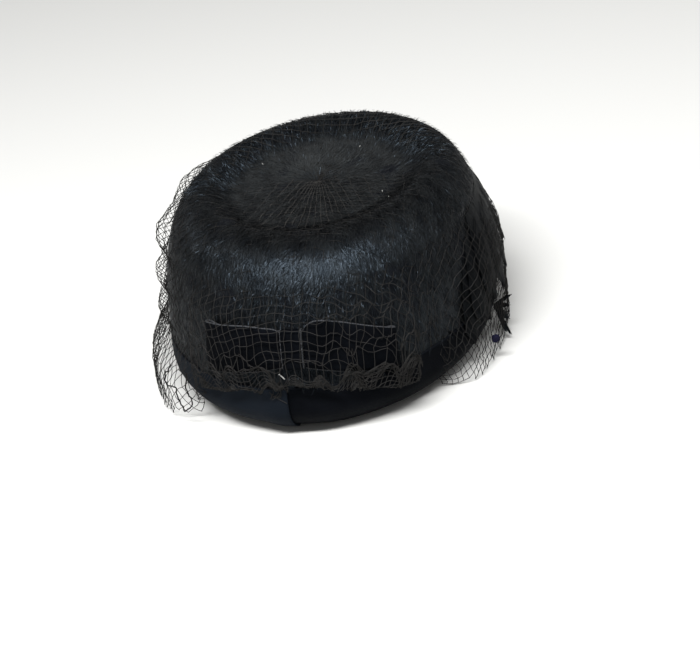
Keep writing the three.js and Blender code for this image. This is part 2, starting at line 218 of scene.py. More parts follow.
def unit(vectors):
    """Vectors scaled to length one, where they have a length."""
    return vectors / np.maximum(np.linalg.norm(vectors, axis=-1, keepdims=True), 1e-12)


def felt_normal(angle, level, hang=0.0):
    """Outward direction: the slope round the hat crossed with the slope up it, and straight up at the
    swirl."""
    round_it, up_it = felt_slopes(angle, level, hang)
    outward = np.cross(round_it, up_it)
    at_swirl = np.linalg.norm(outward, axis=-1, keepdims=True) < 1e-9
    return unit(np.where(at_swirl, np.array([0, 0, 1.0]), outward))


def off_felt(angle, level, distance, hang=0.0):
    """Point at a distance off the felt, along its own outward direction."""
    angle, level, distance, hang = (
        np.array(value, float) for value in np.broadcast_arrays(angle, level, distance, hang))
    return felt_point(angle, level, hang) + felt_normal(angle, level, hang) * distance[..., None]


def waves(points, size, seed):
    """Smooth unevenness, mostly from -1 to 1: the sum of eight sine waves in seeded directions, about
    size long, over three."""
    rng = np.random.default_rng(seed)
    directions = unit(rng.normal(size=(8, 3))) * rng.uniform(0.6, 1.7, (8, 1)) * 2 * math.pi / size
    phases = rng.uniform(0, 2 * math.pi, 8)
    return np.sin(np.asarray(points) @ directions.T + phases).sum(-1) / 3


def grid_corners(rows, columns, closes=False):
    """Corner numbers of the triangles of a grid of points, row by row. Where it closes, the last column
    joins the first."""
    across = columns if closes else columns - 1
    row, column = np.meshgrid(np.arange(rows - 1), np.arange(across), indexing="ij")
    row, column = row.ravel(), column.ravel()
    beside = (column + 1) % columns
    a, b = row * columns + column, row * columns + beside
    c, d = b + columns, a + columns
    return np.concatenate([np.stack([a, b, c], 1), np.stack([a, c, d], 1)])


def add_piece(name, points, triangles, material, uv=None, shade=None, smooth=True, closed=True):
    """A mesh object of triangles, with points closer than a micrometre joined and a shape that is closed
    turned so that its faces point out. uv has a row for each corner, shade a value for each point."""
    points = np.asarray(points, float).reshape(-1, 3)
    keys, first, joined = np.unique(
        np.round(points * 1e6).astype(np.int64), axis=0, return_index=True, return_inverse=True)
    triangles = joined.reshape(-1)[triangles]
    points = points[first]
    real = (triangles != np.roll(triangles, 1, axis=1)).all(1)
    triangles = triangles[real]
    uv = None if uv is None else uv.reshape(-1, 3, 2)[real]
    a, b, c = (points[triangles[:, i]] for i in range(3))
    if closed and (a * np.cross(b, c)).sum() < 0:
        triangles = triangles[:, ::-1]
        uv = None if uv is None else uv[:, ::-1]
    mesh = bpy.data.meshes.new(name)
    mesh.vertices.add(len(points))
    mesh.vertices.foreach_set("co", points.ravel())
    mesh.loops.add(triangles.size)
    mesh.loops.foreach_set("vertex_index", triangles.ravel())
    mesh.polygons.add(len(triangles))
    mesh.polygons.foreach_set("loop_start", np.arange(0, triangles.size, 3))
    mesh.polygons.foreach_set("use_smooth", np.full(len(triangles), smooth))
    if uv is not None:
        mesh.uv_layers.new(name="UVMap").data.foreach_set("uv", uv.ravel())
    if shade is not None:
        values = np.asarray(shade, float)[first]
        mesh.attributes.new("shade", "FLOAT", "POINT").data.foreach_set("value", values)
    mesh.update(calc_edges=True)
    mesh.validate()
    mesh.materials.append(material)
    piece = bpy.data.objects.new(name, mesh)
    bpy.context.scene.collection.objects.link(piece)
    return piece


def link(material, source, target):
    """Joins an output socket to an input socket."""
    material.node_tree.links.new(source, target)


def cloth_grain_group():
    """Fine cloudy grain for cloth. Mask is soft noise at Size, and Height is finer noise at Grain, both
    in turns for each metre of the piece's own place."""
    group = bpy.data.node_groups.new("cloth_grain", "ShaderNodeTree")
    for name in ("Clouds", "Grain"):
        group.interface.new_socket(name, in_out="INPUT", socket_type="NodeSocketFloat")
    for name in ("Mask", "Height"):
        group.interface.new_socket(name, in_out="OUTPUT", socket_type="NodeSocketFloat")
    nodes, links = group.nodes, group.links
    inlet, outlet = nodes.new("NodeGroupInput"), nodes.new("NodeGroupOutput")
    place = nodes.new("ShaderNodeTexCoord")
    for size, result, detail in (("Clouds", "Mask", 4), ("Grain", "Height", 2)):
        noise = nodes.new("ShaderNodeTexNoise")
        noise.inputs["Detail"].default_value = detail
        links.new(place.outputs["Object"], noise.inputs["Vector"])
        links.new(inlet.outputs[size], noise.inputs["Scale"])
        links.new(noise.outputs["Fac"], outlet.inputs[result])
    return group


CLOTH_GRAIN = cloth_grain_group()


def two_tones(material, dark, light, low=0, high=1):
    """A colour ramp node from dark at low to light at high."""
    ramp = material.node_tree.nodes.new("ShaderNodeValToRGB")
    for element, place, color in zip(ramp.color_ramp.elements, (low, high), (dark, light)):
        element.position = place
        element.color = (*color, 1)
    return ramp


def clothed_material(name, dark, light, clouds, grain, depth, values):
    """A Principled material with the grain group: its mask mixes two colours, and its height is a bump."""
    material, shader = new_material(name, values)
    nodes = material.node_tree.nodes
    grained = nodes.new("ShaderNodeGroup")
    grained.node_tree = CLOTH_GRAIN
    grained.inputs["Clouds"].default_value = clouds
    grained.inputs["Grain"].default_value = grain
    tones = two_tones(material, dark, light, 0.35, 0.68)
    bump = nodes.new("ShaderNodeBump")
    bump.inputs["Distance"].default_value = depth
    link(material, grained.outputs["Mask"], tones.inputs["Fac"])
    link(material, tones.outputs["Color"], shader.inputs["Base Color"])
    link(material, grained.outputs["Height"], bump.inputs["Height"])
    link(material, bump.outputs["Normal"], shader.inputs["Normal"])
    return material, shader, tones


FELT_MATERIAL, _, _ = clothed_material(
    "felt", (0.002, 0.0022, 0.003), (0.005, 0.0055, 0.007), 60, 1400, 0.0004,
    {"Roughness": 0.6, "Specular IOR Level": 0.05, "Specular Tint": (0.62, 0.78, 1.0, 1)})

wall_levels = level_at(np.concatenate([np.linspace(0, 0.0235, 9), np.linspace(0.027, 0.110, 40)]))
shoulder_levels = np.linspace(wall_levels[-1], 2, 26)[1:]
tip_levels = 3 - np.concatenate([np.linspace(1, 0.7, 26)[1:], np.linspace(0.68, 0, 30)])
body_levels = np.concatenate([wall_levels, shoulder_levels, tip_levels])
body_angles = np.arange(BODY_COLUMNS) * 360 / BODY_COLUMNS
around, up = np.meshgrid(body_angles, body_levels)
outside = off_felt(around, up, 0)
dents = DENT_DEPTH * waves(outside, DENT_SIZE, 3) * ease(0, 0.3, up)
turned_away = (around - PINCH["angle"] + 180) % 360 - 180
from_pinch = (turned_away / PINCH["wide"]) ** 2 + ((up - PINCH["level"]) / PINCH["long"]) ** 2
pinch = PINCH["deep"] * np.exp(-from_pinch)
outside = off_felt(around, up, dents - pinch)
inside = off_felt(around, up, dents - pinch - FELT)
inside[0, :, 2] = 0
shell = np.concatenate([inside[::-1], outside])
corners = grid_corners(len(shell), BODY_COLUMNS, closes=True)
felt = add_piece("felt_body", shell, corners, FELT_MATERIAL)
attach(felt, "root")
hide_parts("crown")

# Nap: the long fur of the felt, brushed out from the swirl over the tip and down the wall. Each piece
# holds one zone of it, with every hair a slim kite that lies along the brushed direction.
HAIR_LENGTH = 0.0062
HAIR_WIDTH = 0.00017
HAIR_LIFT = 0.0011
HAIR_ROLL = 0.24
FAR_ROLL = 0.9
STRAY_SHARE = 0.045
STRAY_LIFT = 0.0024
NAP_ZONES = [
    {"name": "nap_tip", "low": 2.0, "high": 2.995, "from": -180, "to": 180, "hairs": 72000, "seed": 11},
    {"name": "nap_back", "low": 1.55, "high": 2.06, "from": -60, "to": 80, "hairs": 80000, "seed": 12},
    {"name": "nap_front", "low": 1.55, "high": 2.06, "from": 80, "to": 300, "hairs": 60000, "seed": 14},
    {"name": "nap_wall", "low": 1.06, "high": 1.6, "from": -180, "to": 180, "hairs": 95000, "seed": 13},
]

BRUSH_DRIFTS = [
    {"degrees": 16, "size": 0.07, "seed": 21},
    {"degrees": 20, "size": 0.012, "seed": 22},
]
BRUSH_SWEEP = {"degrees": -32, "angle": 62, "wide": 34}
BRUSH_SCATTER = 10
HAIR_SHADE = 0.20
SHADE_CLOUDS = {"depth": 0.14, "size": 0.02, "seed": 23}
SHADE_SCATTER = 0.15
# Painted light and shade in the hairs' colour: painted light on the tip, a painted sheen towards its front,
# painted shade at the raised edge, and rays of painted shadow from folds round the tack.
TIP_LIGHT = 0.38
EDGE_SHADE = 0.08
FRONT_SHEEN = {"rise": 0.35, "level": 2.72, "long": 0.16, "angle": 200, "wide": 75}
FOLD_SHADOW_FAN = {"wide": 42, "rays": 17, "depth": 0.34}


def shaded_material(name, dark, light, values):
    """A Principled material whose colour goes from dark to light by the piece's own shade."""
    material, shader = new_material(name, values)
    shade = material.node_tree.nodes.new("ShaderNodeAttribute")
    shade.attribute_name = "shade"
    tones = two_tones(material, dark, light)
    link(material, shade.outputs["Fac"], tones.inputs["Fac"])
    link(material, tones.outputs["Color"], shader.inputs["Base Color"])
    return material


NAP_MATERIAL = shaded_material(
    "nap", (0.0012, 0.0012, 0.0013), (0.022, 0.0235, 0.0235),
    {"Roughness": 0.36, "Specular IOR Level": 0.26, "Specular Tint": (0.62, 0.80, 1.0, 1)})


def scatter(low, high, start, stop, count, rng):
    """Angles and levels spread evenly over the felt's area between two levels and two angles: a fine grid
    of patches is drawn from by its area, and each hair is moved within its patch."""
    angles = np.arange(start, stop, 2.0)
    levels = np.linspace(low, high, 80)
    angle_grid, level_grid = np.meshgrid(angles, levels)
    round_it, up_it = felt_slopes(angle_grid, level_grid)
    area = np.linalg.norm(np.cross(round_it, up_it), axis=-1).ravel()
    chosen = rng.choice(area.size, count, p=area / area.sum())
    angle = angle_grid.ravel()[chosen] + rng.uniform(0, 2, count)
    level = level_grid.ravel()[chosen] + rng.uniform(-0.5, 0.5, count) * (levels[1] - levels[0])
    return angle, np.clip(level, low, min(high, 2.998))


def half_turn(angle):
    """The angle from -180 to 180."""
    return (angle + 540) % 360 - 180


def brushed(angle, level, points):
    """Angle of the fur's lie from straight out and down, in degrees: slow drifts, locks a few millimetres
    wide, and a sweep towards the back over the right side."""
    drift = sum(row["degrees"] * waves(points, row["size"], row["seed"]) for row in BRUSH_DRIFTS)
    from_sweep = (half_turn(angle) - BRUSH_SWEEP["angle"]) / BRUSH_SWEEP["wide"]
    sweep = BRUSH_SWEEP["degrees"] * np.exp(-(from_sweep ** 2))
    return drift + sweep * ease(2.2, 1.75, level) * ease(1.2, 1.5, level)


def hair_shade(angle, level, root, rng):
    """Shade of each hair from 0 to 1: clouds and scatter, with painted light on the tip that is strongest
    towards its front as a painted sheen, painted shade at the raised edge, and rays of painted shadow from
    folds where the net is drawn to the tack."""
    front = half_turn(angle - FRONT_SHEEN["angle"]) / FRONT_SHEEN["wide"]
    from_front = ((level - FRONT_SHEEN["level"]) / FRONT_SHEEN["long"]) ** 2
    pale = FRONT_SHEEN["rise"] * np.exp(-from_front - front ** 2)
    edge = ease(1.8, 1.95, level) * ease(2.3, 2.15, level)
    pale = pale + TIP_LIGHT * ease(2.15, 2.4, level) - EDGE_SHADE * edge
    drawn = ease(2.30, 2.45, level) * ease(2.97, 2.85, level)
    fan = np.exp(-((half_turn(angle) / FOLD_SHADOW_FAN["wide"]) ** 4)) * drawn
    pale = pale - FOLD_SHADOW_FAN["depth"] * fan * (0.5 + 0.5 * np.sin(np.radians(angle) * FOLD_SHADOW_FAN["rays"]))
    clouds = SHADE_CLOUDS["depth"] * waves(root, SHADE_CLOUDS["size"], SHADE_CLOUDS["seed"])
    return np.clip(HAIR_SHADE + clouds + rng.normal(0, SHADE_SCATTER, len(root)) + pale, 0, 1)


for zone in NAP_ZONES:
    rng = np.random.default_rng(zone["seed"])
    count = zone["hairs"]
    angle, level = scatter(zone["low"], zone["high"], zone["from"], zone["to"], count, rng)
    round_it, up_it = felt_slopes(angle, level)
    root = felt_point(angle, level)
    lie = np.radians(brushed(angle, level, root) + rng.normal(0, BRUSH_SCATTER, count))
    length = HAIR_LENGTH * rng.uniform(0.55, 1.25, count)
    per_degree = np.sin(lie) / np.maximum(np.linalg.norm(round_it, axis=-1), 2e-4)
    per_level = -np.cos(lie) / np.maximum(np.linalg.norm(up_it, axis=-1), 1e-5)
    lift = HAIR_LIFT * rng.uniform(0.3, 1.3, count)
    stray = rng.uniform(size=count) < STRAY_SHARE
    lift = np.where(stray, lift + STRAY_LIFT * rng.uniform(0.3, 1, count), lift)
    base = off_felt(angle, level, 0.1 * lift)
    half_way = np.clip(level + 0.5 * length * per_level, 0, 3)
    whole_way = np.clip(level + length * per_level, 0, 3)
    middle = off_felt(angle + 0.5 * length * per_degree, half_way, 0.75 * lift)
    end = off_felt(angle + length * per_degree, whole_way, lift)
    outward = felt_normal(angle, level)
    sideways = unit(np.cross(end - base, outward))
    shade = hair_shade(angle, level, root, rng)
    far = ease(80, 115, np.abs(half_turn(angle - 12)))
    far_crest = far * ease(1.75, 1.9, level) * ease(2.3, 2.15, level)
    roll = (rng.normal(0, 1, count) * (HAIR_ROLL + FAR_ROLL * far_crest))[:, None]
    half_width = (0.5 * HAIR_WIDTH * rng.uniform(0.7, 1.4, count) * np.where(stray, 1.6, 1))[:, None]
    breadth = (sideways * np.cos(roll) + outward * np.sin(roll)) * half_width
    points = np.stack([base, middle - breadth, middle + breadth, end], 1).reshape(-1, 3)
    first = np.arange(count)[:, None] * 4
    triangles = np.concatenate([first + [0, 2, 1], first + [1, 2, 3]])
    shade = np.repeat(shade, 4)
    nap = add_piece(zone["name"], points, triangles, NAP_MATERIAL, shade=shade, smooth=False, closed=False)
    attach(nap, "root")

# Band: a velvet ribbon drawn flat round the foot of the wall. It is joined at the back, where its end
# is lapped over its beginning.
BAND_CLEARANCE = 0.0004
BAND_LOW = 0.0008
BAND_HIGH = 0.038
BAND_THICKNESS = 0.0012
BAND_JOIN = -7.0
BAND_COLUMNS = 288
# A bluer painted sheen is added to the ribbon's colour past a set distance along it, where the pile lies the
# other way.
PILE_SHEEN_FROM = 0.45
PILE_SHEEN_BLEND = 0.15
PILE_SHEEN_COLOR = (0.0045, 0.0062, 0.0088, 1)
WEAVE_STEP = 0.0009


def ribbon_material(name, thread_dark, thread_light, edge_share):
    """Velvet whose pile catches light at a glance, with a woven edge at both sides of the ribbon, read
    from the ribbon's own UV map, where V goes across the ribbon and U along it in metres. Past a set
    distance along the ribbon the pile lies the other way, and a bluer painted sheen is added to its colour."""
    material, shader, tones = clothed_material(
        name, (0.0010, 0.0011, 0.0014), (0.0024, 0.0027, 0.0036), 45, 2600, 0.00025,
        {"Roughness": 0.7, "Specular IOR Level": 0.03, "Specular Tint": (0.55, 0.72, 1.0, 1)})
    nodes = material.node_tree.nodes

    def calculated(operation, source, number=0.0):
        step = nodes.new("ShaderNodeMath")
        step.operation = operation
        step.inputs[1].default_value = number
        link(material, source, step.inputs[0])
        return step.outputs["Value"]

    def ramped(source, start, end):
        step = nodes.new("ShaderNodeMapRange")
        step.clamp = True
        step.inputs["From Min"].default_value = start
        step.inputs["From Max"].default_value = end
        link(material, source, step.inputs["Value"])
        return step.outputs["Result"]

    def mixed(factor, first, blend="MIX"):
        step = nodes.new("ShaderNodeMix")
        step.data_type = "RGBA"
        step.blend_type = blend
        link(material, factor, step.inputs["Factor"])
        link(material, first, step.inputs[6])
        return step

    place = nodes.new("ShaderNodeUVMap")
    place.uv_map = "UVMap"
    split = nodes.new("ShaderNodeSeparateXYZ")
    link(material, place.outputs["UV"], split.inputs["Vector"])
    along, across = split.outputs["X"], split.outputs["Y"]
    edge = ramped(calculated("PINGPONG", across, 0.5), edge_share, 0.7 * edge_share)
    woven = two_tones(material, thread_dark, thread_light)
    weave = calculated("SINE", calculated("MULTIPLY", along, 2 * math.pi / WEAVE_STEP))
    link(material, weave, woven.inputs["Fac"])
    # Painted sheen: a bluer colour added past a set distance along the ribbon.
    pile = mixed(ramped(along, PILE_SHEEN_FROM, PILE_SHEEN_FROM + PILE_SHEEN_BLEND), tones.outputs["Color"], "ADD")
    pile.inputs[7].default_value = PILE_SHEEN_COLOR
    finish = mixed(edge, pile.outputs[2])
    link(material, woven.outputs["Color"], finish.inputs[7])
    link(material, finish.outputs[2], shader.inputs["Base Color"])
    return material


BAND_MATERIAL = ribbon_material("velvet_band", (0.002, 0.0022, 0.003), (0.008, 0.009, 0.011), 0.02)


def ribbon_skin(front, back):
    """A closed strip from its front and back faces, each a grid with rows across the ribbon: the rows of
    the front and those of the back, turned round, make one closed profile."""
    loop = np.concatenate([front, back[::-1], front[:1]])
    columns = loop.shape[1]
    corners = grid_corners(len(loop), columns)
    ends = []
    rows = len(front)
    for column, turn in ((0, 1), (columns - 1, -1)):
        top = np.arange(rows) * columns + column
        bottom = (np.arange(rows)[::-1] + rows) * columns + column
        a, b, c, d = top[:-1], top[1:], bottom[1:], bottom[:-1]
        ends.append(np.stack([a, b, c], 1)[:, ::turn])
        ends.append(np.stack([a, c, d], 1)[:, ::turn])
    return loop, np.concatenate([corners, *ends])


def ribbon_uv(front_rows, columns, triangles, distance_along):
    """UV of each corner: V is the row's share across the ribbon, on the front and the back alike, and U
    the distance along it."""
    share = np.linspace(0, 1, front_rows)
    across = np.concatenate([share, share[::-1], share[:1]])
    flat = triangles.ravel()
    return np.stack([distance_along[flat % columns], across[flat // columns]], 1)


band_angles = BAND_JOIN + np.linspace(0, 360 + 5, BAND_COLUMNS)
band_heights = np.linspace(BAND_LOW, BAND_HIGH, 15)
band_angle, band_height = np.meshgrid(band_angles, band_heights)
lap = (BAND_THICKNESS + 0.0002) * ease(BAND_JOIN + 352, BAND_JOIN + 360, band_angle)
flat_place = off_felt(band_angle, level_at(band_height), 0)
sway = 0.00025 * waves(flat_place, 0.05, 31)
inner_off = BAND_CLEARANCE + lap + np.abs(sway)
band_faces = []
for distance in (inner_off + BAND_THICKNESS, inner_off):
    face = off_felt(band_angle, level_at(band_height), distance)
    face[..., 2] = np.maximum(face[..., 2], BAND_LOW)
    band_faces.append(face)
band_points, band_triangles = ribbon_skin(*band_faces)
band_along = np.radians(band_angles) * SWELL_HALF_WIDTH * (1 + LENGTH_TO_WIDTH) / 2
band_uv = ribbon_uv(len(band_heights), BAND_COLUMNS, band_triangles, band_along)
band = add_piece("ribbon_band", band_points, band_triangles, BAND_MATERIAL, uv=band_uv)
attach(band, "root")
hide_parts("band")

# Bow: two flat loops of the same ribbon above the band, each folded back on itself at its outer end and
# drawn together under the knot. The right loop droops a little. Each section of a loop has its distance
# from the bow's middle, its distance off the felt, and the heights of its lower and upper edges.
BOW_MIDDLE = 0.003
RIBBON = 0.0008
LEFT_SHORTER = 0.003
LOOP_PLACES = 64
LOOP_ROWS = 12
LOOP_SECTIONS = [
    {"out": 0.0072, "off": 0.0012, "left": (0.0530, 0.0760), "right": (0.0530, 0.0760)},
    {"out": 0.0200, "off": 0.0012, "left": (0.0514, 0.0748), "right": (0.0500, 0.0768)},
    {"out": 0.0380, "off": 0.0012, "left": (0.0490, 0.0754), "right": (0.0455, 0.0722)},
    {"out": 0.0530, "off": 0.0013, "left": (0.0458, 0.0752), "right": (0.0410, 0.0664)},
    {"out": 0.0600, "off": 0.0023, "left": (0.0450, 0.0768), "right": (0.0396, 0.0655)},
    {"out": 0.0620, "off": 0.0040, "left": (0.0450, 0.0766), "right": (0.0396, 0.0648)},
    {"out": 0.0596, "off": 0.0057, "left": (0.0450, 0.0768), "right": (0.0396, 0.0658)},
    {"out": 0.0460, "off": 0.0067, "left": (0.0476, 0.0780), "right": (0.0430, 0.0720)},
    {"out": 0.0300, "off": 0.0069, "left": (0.0500, 0.0795), "right": (0.0470, 0.0786)},
    {"out": 0.0170, "off": 0.0062, "left": (0.0518, 0.0788), "right": (0.0506, 0.0814)},
    {"out": 0.0104, "off": 0.0050, "left": (0.0526, 0.0778), "right": (0.0520, 0.0796)},
    {"out": 0.0072, "off": 0.0044, "left": (0.0530, 0.0760), "right": (0.0530, 0.0756)},
]

RIBBON_MATERIAL = ribbon_material("velvet_ribbon", (0.020, 0.021, 0.023), (0.070, 0.073, 0.078), 0.022)
KNOT_MATERIAL = ribbon_material("velvet_knot", (0.024, 0.025, 0.027), (0.080, 0.083, 0.088), 0.050)


def bow_point(along, height, distance):
    """Point on the bow: a distance along the back of the hat from the bow's middle, a height, and a
    distance off the felt."""
    angle = np.degrees((BOW_MIDDLE + along) / SWELL_HALF_WIDTH)
    return off_felt(angle, level_at(height), distance)


def smooth_rows(table, keys, places):
    """Columns of a table read at evenly spaced places, on a curve through its rows: each value is blended
    from four rows, as a Catmull-Rom spline does."""
    rows = np.array([np.hstack([row[key] for key in keys]) for row in table])
    padded = np.concatenate([rows[:1], rows, rows[-1:]])
    where = np.linspace(0, len(rows) - 1, places)
    start = np.minimum(where.astype(int), len(rows) - 2)
    share = (where - start)[:, None]
    p0, p1, p2, p3 = (padded[start + i] for i in range(4))
    bend = 2 * p0 - 5 * p1 + 4 * p2 - p3 + share * (3 * (p1 - p2) + p3 - p0)
    return (p1 + 0.5 * share * (p2 - p0 + share * bend)).T


for side, hand in ((-1, "left"), (1, "right")):
    name = "bow_loop_" + hand
    out, off, low, high = smooth_rows(LOOP_SECTIONS, ["out", "off", hand], LOOP_PLACES)
    out = out - LEFT_SHORTER * (side < 0) * ease(0.010, 0.060, out)
    across_path = unit(np.stack([np.gradient(off), -np.gradient(out)], 1))
    share = np.linspace(0, 1, LOOP_ROWS)[:, None]
    height = low + (high - low) * share
    pleat = 0.0006 * np.sin(share * 11 + side) * ease(0.030, 0.008, out)
    loop_faces = []
    for half_ribbon in (0.5 * RIBBON, -0.5 * RIBBON):
        out_at = side * (out + half_ribbon * across_path[:, 0])
        off_at = off + half_ribbon * across_path[:, 1] + pleat
        loop_faces.append(bow_point(out_at, height, off_at))
    loop_points, loop_triangles = ribbon_skin(*loop_faces)
    loop_along = np.concatenate([[0], np.cumsum(np.hypot(np.diff(out), np.diff(off)))])
    loop_uv = ribbon_uv(LOOP_ROWS, LOOP_PLACES, loop_triangles, loop_along)
    loop = add_piece("ribbon_" + name, loop_points, loop_triangles, RIBBON_MATERIAL, uv=loop_uv)
    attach(loop, "root")
    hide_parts(name)

# Knot: a short end of the ribbon wrapped upright round the middle of the bow, with its edges folded in.
KNOT_HALF_WIDTH = 0.0065
KNOT_LOW = 0.0525
KNOT_HIGH = 0.077
KNOT_DEPTH = 0.0080
KNOT_ROUNDING = 0.0016
KNOT_ROWS = 40

knot_share = np.linspace(-1, 1, 24)
knot_turn = np.linspace(0, 2 * math.pi, KNOT_ROWS, endpoint=False)
knot_across, knot_around = np.meshgrid(knot_share, knot_turn)
knot_middle = (KNOT_LOW + KNOT_HIGH) / 2
knot_upward = np.sign(np.sin(knot_around)) * np.abs(np.sin(knot_around)) ** 0.35
knot_forward = np.sign(np.cos(knot_around)) * np.abs(np.cos(knot_around)) ** 0.35
knot_height = knot_middle + 0.5 * (KNOT_HIGH - KNOT_LOW) * knot_upward
knot_front = KNOT_DEPTH - KNOT_ROUNDING * knot_across ** 4
knot_out = 0.5 * (1 + knot_forward)
knot_pleats = 0.00035 * np.sin(knot_across * 9) * knot_out
knot_off = BAND_CLEARANCE + (knot_front - BAND_CLEARANCE) * knot_out + knot_pleats
knot_grid = bow_point(knot_across * KNOT_HALF_WIDTH, knot_height, knot_off).transpose(1, 0, 2)
knot_corners = grid_corners(len(knot_grid), KNOT_ROWS, closes=True)
knot_caps = []
for row, turn in ((0, -1), (len(knot_grid) - 1, 1)):
    ring = row * KNOT_ROWS + np.arange(KNOT_ROWS)
    half_ring = KNOT_ROWS // 2
    upper, lower = ring[:half_ring + 1], ring[[0, *range(KNOT_ROWS - 1, half_ring - 1, -1)]]
    knot_caps.append(np.stack([upper[:-1], upper[1:], lower[1:]], 1)[:, ::turn])
    knot_caps.append(np.stack([upper[:-1], lower[1:], lower[:-1]], 1)[:, ::turn])
knot_triangles = np.concatenate([knot_corners, *knot_caps])
knot_flat = knot_triangles.ravel()
knot_along = (knot_flat % KNOT_ROWS) / KNOT_ROWS * 0.07
knot_uv = np.stack([knot_along, (knot_flat // KNOT_ROWS) / (len(knot_grid) - 1)], 1)
knot = add_piece("ribbon_knot", knot_grid, knot_triangles, KNOT_MATERIAL, uv=knot_uv)
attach(knot, "root")
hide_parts("bow_knot")

# Feather wing: overlapping black feathers on the wearer's right, laid down the wall in three rows on a
# thin backing. Each has a thin web, arched at its quill, and fine barbs that stand off it. The tips of a
# row rise from its rear to its front.
WING_REAR = 70
WING_FRONT = 150
WING_TOP = 0.086
WING_CLEARANCE = 0.0007
BACKING_THICKNESS = 0.0014
FEATHER_ROWS = [
    {"count": 9, "root": 0.076, "rear": 75, "tips": (0.020, 0.056), "width": 0.025, "off": 0.0040},
    {"count": 9, "root": 0.086, "rear": 78, "tips": (0.030, 0.060), "width": 0.025, "off": 0.0062},
    {"count": 8, "root": 0.096, "rear": 83, "tips": (0.037, 0.064), "width": 0.027, "off": 0.0104},
]
ROOT_OFF = 0.0012
BARBS = 90
BARB_WIDTH = 0.0007

FEATHER_MATERIAL, _, _ = clothed_material(
    "feather", (0.0010, 0.0011, 0.0013), (0.0038, 0.0042, 0.0050), 120, 900, 0.0001,
    {"Roughness": 0.5, "Specular IOR Level": 0.05, "Specular Tint": (0.65, 0.85, 1.0, 1)})


def quill_place(root, tip, share):
    """Angle, height and distance off the felt along a feather, straight from its root to its tip."""
    return tuple(start + (stop - start) * share for start, stop in zip(root, tip))


def spread(share):
    """Share of a feather's full width along it: narrow at the root, widest past the middle and pointed."""
    body = 0.16 + 0.84 * np.sin(math.pi * (0.18 + 0.72 * share)) ** 0.8
    return np.where(share > 0.8, body + (0.1 - body) * ease(0.8, 1, share), body)


def feather_at(root, tip, width, along, aside, lift):
    """Point of a feather: along its quill by a share, aside by a share of its half width, and lifted off
    the web. The web arches, highest at the quill."""
    angle, height, off = quill_place(root, tip, along)
    reach = aside * 0.5 * width * spread(np.clip(along, 0, 1))
    arch = 0.0012 * (1 - np.minimum(1, aside ** 2)) * ease(0, 0.3, along)
    return off_felt(angle + np.degrees(reach / SWELL_HALF_WIDTH), level_at(height), off + arch + lift, 1)


def gather_parts(parts):
    """Points and triangles of several shapes as one list."""
    starts = np.cumsum([0] + [len(points) for points, _ in parts])
    triangles = [corners + start for (_, corners), start in zip(parts, starts)]
    return np.concatenate([points for points, _ in parts]), np.concatenate(triangles)


def feather_parts(root, tip, width, barbs, rng):
    """Points and triangles of one feather: its web as a thin closed strip, and on it curved barbs that
    leave the quill at a slant towards the tip."""
    along, aside = np.meshgrid(np.linspace(0, 1, 18), np.linspace(-1, 1, 9))
    front = feather_at(root, tip, width, along, 0.92 * aside, 0)
    back = feather_at(root, tip, width, along, 0.92 * aside, -0.0005)
    web_points, web_triangles = ribbon_skin(front, back)
    start = np.concatenate([np.linspace(0.10, 0.93, barbs)] * 2)
    way = np.repeat([-1.0, 1.0], barbs)
    start = start + rng.normal(0, 0.006, start.size)
    slant = 0.16 + rng.normal(0, 0.02, start.size)
    reach = way * rng.uniform(0.86, 1.06, start.size)
    lift = rng.uniform(0.0001, 0.0005, start.size)
    thick = 0.5 * BARB_WIDTH / max(abs(root[1] - tip[1]), 0.006)
    half_way = start + 0.45 * slant
    base = [feather_at(root, tip, width, start + side * thick, 0.0 * reach, lift * 0.6) for side in (-1, 1)]
    middle = [feather_at(root, tip, width, half_way + side * thick, 0.55 * reach, lift) for side in (-1, 1)]
    end = feather_at(root, tip, width, np.minimum(start + slant, 1.04), reach, lift * 1.6)
    barb_points = np.stack([*base, *middle, end], 1).reshape(-1, 3)
    first = np.arange(start.size)[:, None] * 5
    right = np.concatenate([first + [0, 2, 3], first + [0, 3, 1], first + [2, 4, 3]])
    left = np.concatenate([first + [0, 3, 2], first + [0, 1, 3], first + [2, 3, 4]])
    keep_right = np.tile(way > 0, 3)
    barb_triangles = np.where(keep_right[:, None], right, left)
    return gather_parts([(web_points.reshape(-1, 3), web_triangles), (barb_points, barb_triangles)])


def under_wing(height):
    """Distance of the wing's underside off the felt: it passes over the band at the foot of the wall."""
    over_band = ease(BAND_HIGH + 0.012, BAND_HIGH + 0.006, height)
    return WING_CLEARANCE + (BAND_CLEARANCE + BAND_THICKNESS) * over_band


rng = np.random.default_rng(41)
backing_angle, backing_share = np.meshgrid(
    np.linspace(WING_REAR + 2, WING_FRONT - 2, 48), np.linspace(0, 1, 20))
along_wing = (backing_angle - WING_REAR) / (WING_FRONT - WING_REAR)
backing_foot = 0.028 + 0.030 * along_wing
backing_height = backing_foot + (WING_TOP - backing_foot) * backing_share
backing_faces = [
    off_felt(backing_angle, level_at(backing_height), under_wing(backing_height) + thickness)
    for thickness in (BACKING_THICKNESS, 0)
]
backing_points, backing_triangles = ribbon_skin(*backing_faces)
wing_parts = [(backing_points.reshape(-1, 3), backing_triangles)]
for row in FEATHER_ROWS:
    for share in np.linspace(0, 1, row["count"]):
        angle = row["rear"] + (WING_FRONT - 5 - row["rear"]) * share + rng.normal(0, 1.2)
        tip_height = row["tips"][0] + (row["tips"][1] - row["tips"][0]) * share + rng.normal(0, 0.0015)
        tip_angle = angle - 6 * (1 - share) + rng.normal(0, 1.5)
        tip_off = row["off"] + rng.normal(0, 0.0004)
        root, tip = (angle, row["root"], ROOT_OFF), (tip_angle, tip_height, tip_off)
        wing_parts.append(feather_parts(root, tip, row["width"], BARBS, rng))
wing_points, wing_triangles = gather_parts(wing_parts)
wing = add_piece("feathers_wing", wing_points, wing_triangles, FEATHER_MATERIAL, smooth=False, closed=False)
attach(wing, "root")
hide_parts("feather_wing")

